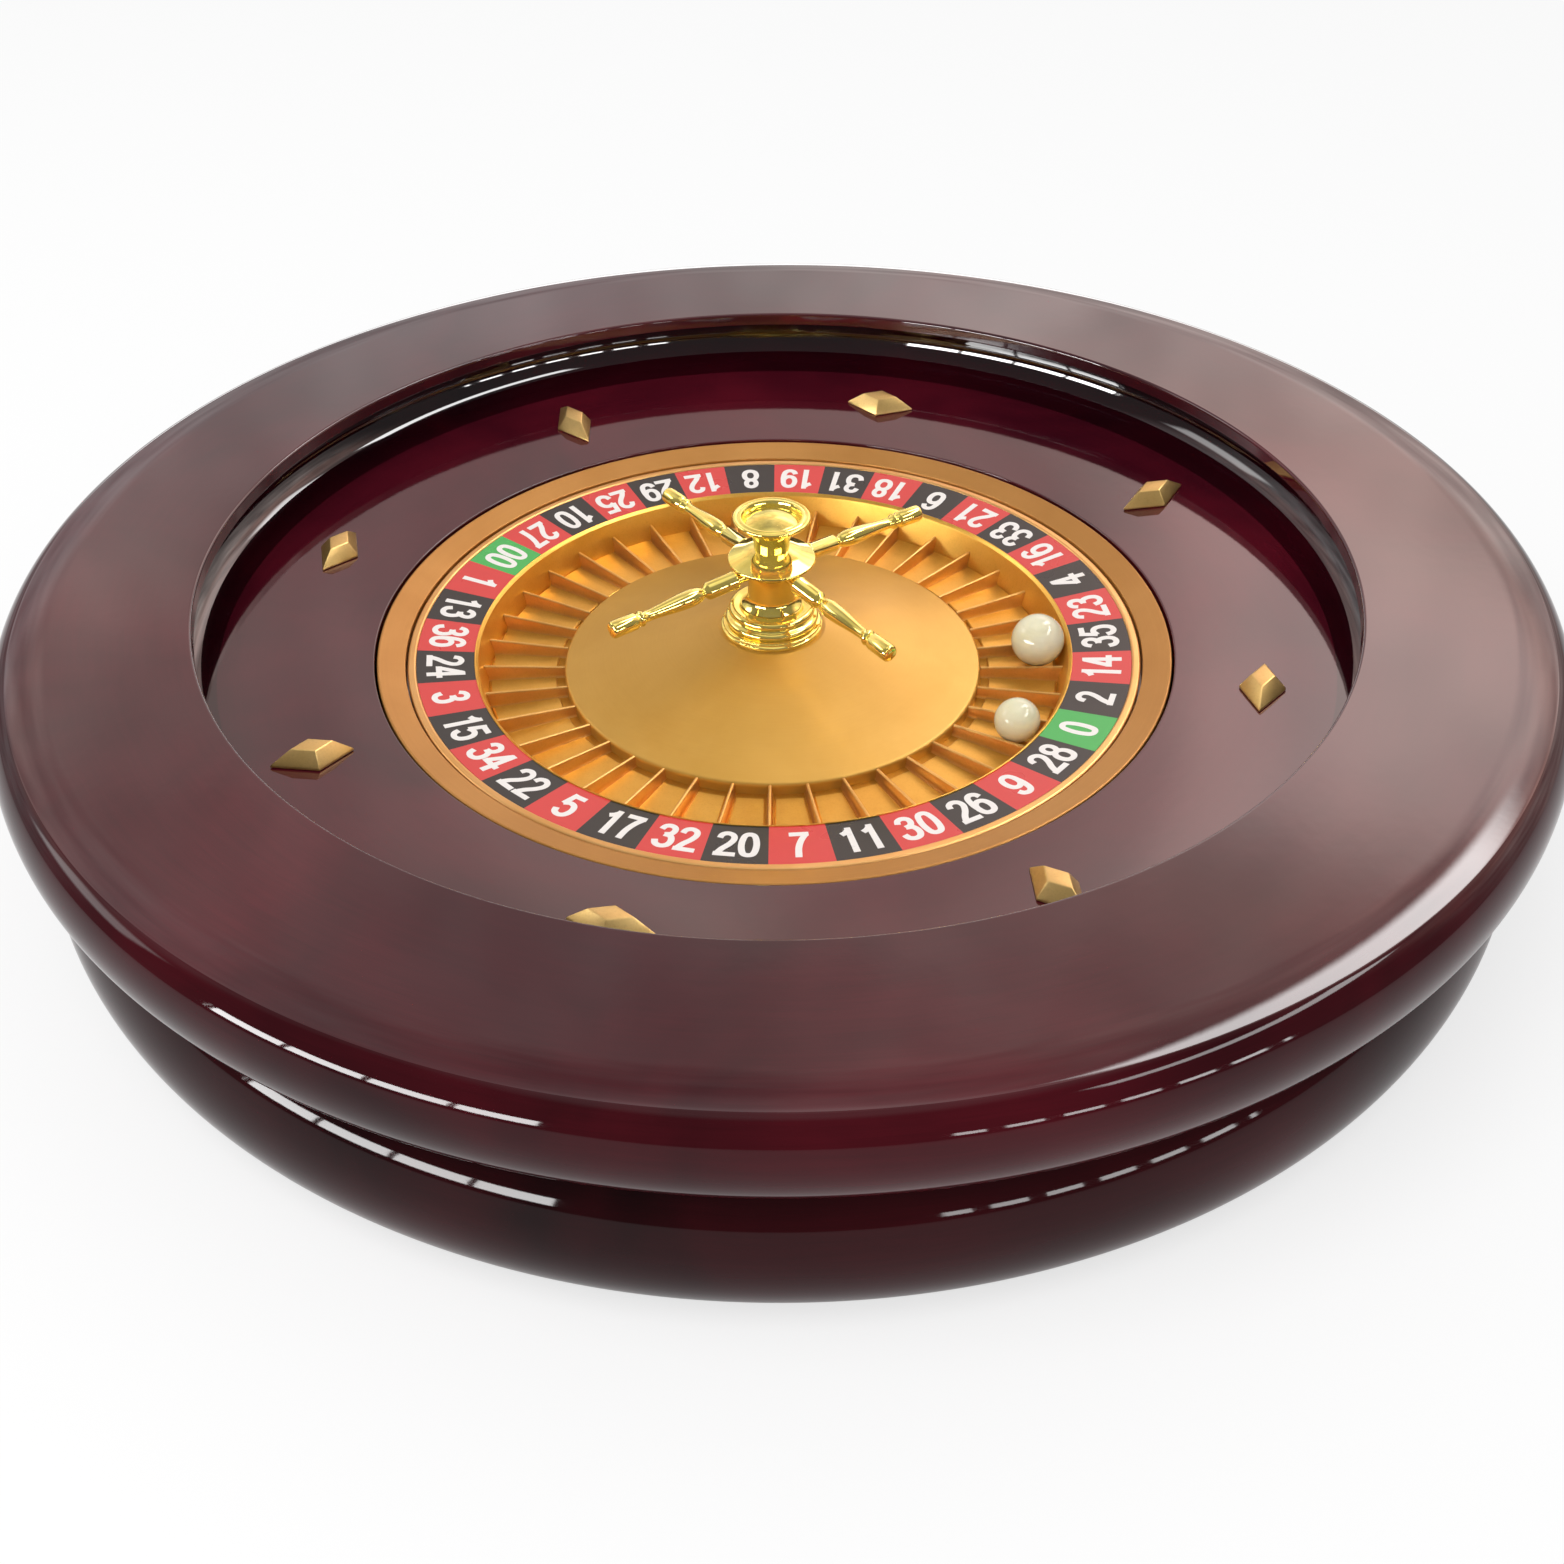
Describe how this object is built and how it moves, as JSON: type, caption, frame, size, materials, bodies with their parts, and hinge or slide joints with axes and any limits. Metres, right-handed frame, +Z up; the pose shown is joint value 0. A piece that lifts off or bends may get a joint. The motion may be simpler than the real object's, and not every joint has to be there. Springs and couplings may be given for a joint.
{
  "type": "roulette wheel",
  "caption": "Roulette wheel: lacquered wooden bowl with diamond deflectors and a gold-coloured rotor of numbered pockets with a four-armed turret.",
  "frame": {"origin": "on the table under the middle of the bowl, on the rotor's axis", "axes": "+Z up along the rotor's axis; -Y is the side towards the player, +X to that player's right"},
  "size_m": [0.508, 0.508, 0.1011],
  "materials": {
    "rim_lacquer": "dark mahogany under gloss lacquer",
    "apron_lacquer": "brown mahogany under gloss lacquer",
    "base_board": "sealed board",
    "rubber_foot": "matt black",
    "gold": "polished gold-coloured metal",
    "trim_gold": "satin gold-coloured metal",
    "deflector_brass": "satin brass",
    "dial_enamel": "gloss enamel in red, black and green fields",
    "pocket_metal": "satin gold-coloured finish",
    "bearing_steel": "ground steel",
    "rotor_alloy": "turned aluminium",
    "ivory": "polished ivory-coloured plastic"
  },
  "bodies": {
    "bowl": {"apron": "apron_lacquer", "ball_track": "apron_lacquer", "base_plate": "base_board", "bowl_body": "rim_lacquer", "deflector_1": "deflector_brass", "deflector_2": "deflector_brass", "deflector_3": "deflector_brass", "deflector_4": "deflector_brass", "deflector_5": "deflector_brass", "deflector_6": "deflector_brass", "deflector_7": "deflector_brass", "deflector_8": "deflector_brass", "foot_1": "rubber_foot", "foot_2": "rubber_foot", "foot_3": "rubber_foot", "foot_4": "rubber_foot", "inner_spacer": "bearing_steel", "lower_inner_race": "bearing_steel", "rim_ring": "rim_lacquer", "rim_top": "rim_lacquer", "spindle": "bearing_steel", "spindle_clip": "bearing_steel", "spindle_nut": "bearing_steel", "track_wall": "apron_lacquer", "upper_inner_race": "bearing_steel"},
    "rotor": {"arm_1": "gold", "arm_2": "gold", "arm_3": "gold", "arm_4": "gold", "arm_collar": "gold", "bearing_retainer": "bearing_steel", "bezel_ring": "trim_gold", "lower_outer_race": "bearing_steel", "number_dial": "dial_enamel", "outer_spacer": "bearing_steel", "pocket_floor": "pocket_metal", "pocket_frets": "gold", "pocket_pads": "pocket_metal", "pocket_wall": "pocket_metal", "rotor_cone": "gold", "rotor_hub": "rotor_alloy", "rotor_pan": "rotor_alloy", "trim_ring": "trim_gold", "turret_base": "gold", "turret_column": "gold", "turret_cup": "gold", "turret_stud": "gold", "upper_outer_race": "bearing_steel"},
    "lower_bearing": {"lower_bearing_balls": "bearing_steel", "lower_cage": "bearing_steel"},
    "upper_bearing": {"upper_bearing_balls": "bearing_steel", "upper_cage": "bearing_steel"},
    "large_ball": {"ball_large": "ivory"},
    "small_ball": {"ball_small": "ivory"}
  },
  "joints": [
    {"name": "rotor_spin", "type": "hinge", "parent": "bowl", "child": "rotor", "pos_m": [0, 0, 0.058], "axis": [0, 0, 1], "continuous": true},
    {"name": "lower_bearing_spin", "type": "hinge", "parent": "bowl", "child": "lower_bearing", "pos_m": [0, 0, 0.0261], "axis": [0, 0, 1], "continuous": true},
    {"name": "upper_bearing_spin", "type": "hinge", "parent": "bowl", "child": "upper_bearing", "pos_m": [0, 0, 0.0501], "axis": [0, 0, 1], "continuous": true},
    {"name": "large_ball_lift", "type": "slide", "parent": "rotor", "child": "large_ball", "axis": [0, 0, 1], "range_m": [0, 0.08]},
    {"name": "small_ball_lift", "type": "slide", "parent": "rotor", "child": "small_ball", "axis": [0, 0, 1], "range_m": [0, 0.08]}
  ],
  "couplings": [
    {"joint": "lower_bearing_spin", "follows": "rotor_spin", "ratio": 0.589},
    {"joint": "upper_bearing_spin", "follows": "rotor_spin", "ratio": 0.589}
  ]
}
